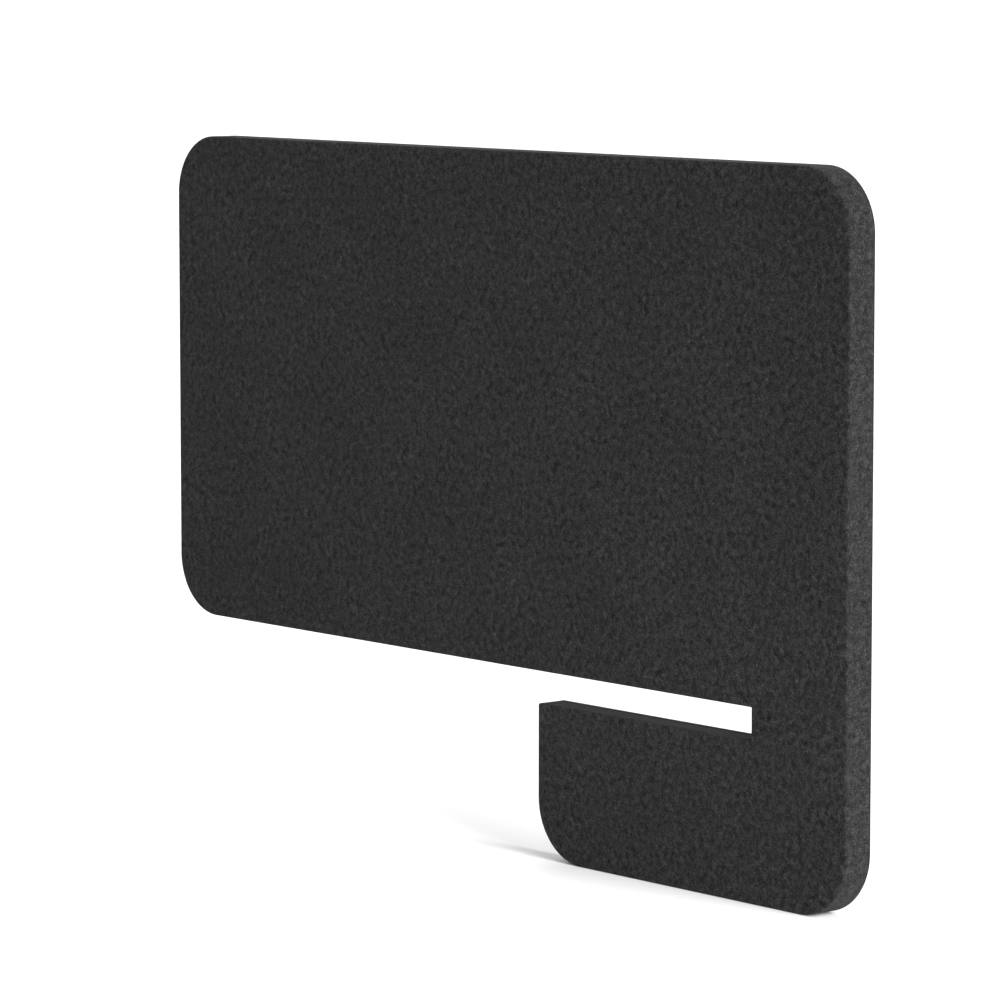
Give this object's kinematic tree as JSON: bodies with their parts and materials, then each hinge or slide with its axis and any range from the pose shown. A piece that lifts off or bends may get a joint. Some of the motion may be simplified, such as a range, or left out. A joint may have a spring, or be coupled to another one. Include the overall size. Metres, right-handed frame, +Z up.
{
  "type": "desk privacy panel",
  "caption": "Flat felt-covered board with a tall rounded screen above the desk top, a short leg below it, and a level slot between the two that slides over the desk top's front edge.",
  "frame": {"origin": "where the slot's roof meets its closed end, at the middle of the panel's thickness: the desk top's upper front edge lies there", "axes": "+X along the desk top's depth towards the person sitting at the desk (the panel's leg and front edge), +Y through the panel's thickness, +Z up"},
  "size_m": [0.912, 0.029, 0.615],
  "materials": {
    "plywood": "matte",
    "beech": "matte",
    "wadding": "matte",
    "zinc_steel": "satin",
    "pressed_felt": "matte",
    "charcoal_felt": "matte",
    "rubber": "matte"
  },
  "bodies": {
    "root": {"top_rail": "plywood", "rear_stile": "plywood", "front_stile": "plywood", "middle_stile": "plywood", "slot_upper_rail": "plywood", "slot_lower_rail": "plywood", "leg_rear_stile": "plywood", "leg_bottom_rail": "plywood", "slot_end_block": "plywood", "top_rear_block": "plywood", "top_front_block": "plywood", "lower_rear_block": "plywood", "leg_rear_block": "plywood", "leg_front_block": "plywood", "frame_dowels": "beech", "rear_infill": "wadding", "front_infill": "wadding", "leg_infill": "wadding", "slot_liner": "zinc_steel", "liner_screws": "zinc_steel", "outer_backing": "pressed_felt", "inner_backing": "pressed_felt", "outer_cover": "charcoal_felt", "inner_cover": "charcoal_felt", "edge_band": "charcoal_felt", "slot_roof_band": "charcoal_felt", "slot_end_band": "charcoal_felt", "slot_floor_band": "charcoal_felt", "upper_grip": "rubber", "lower_grip": "rubber", "end_bumper": "rubber"}
  },
  "joints": []
}
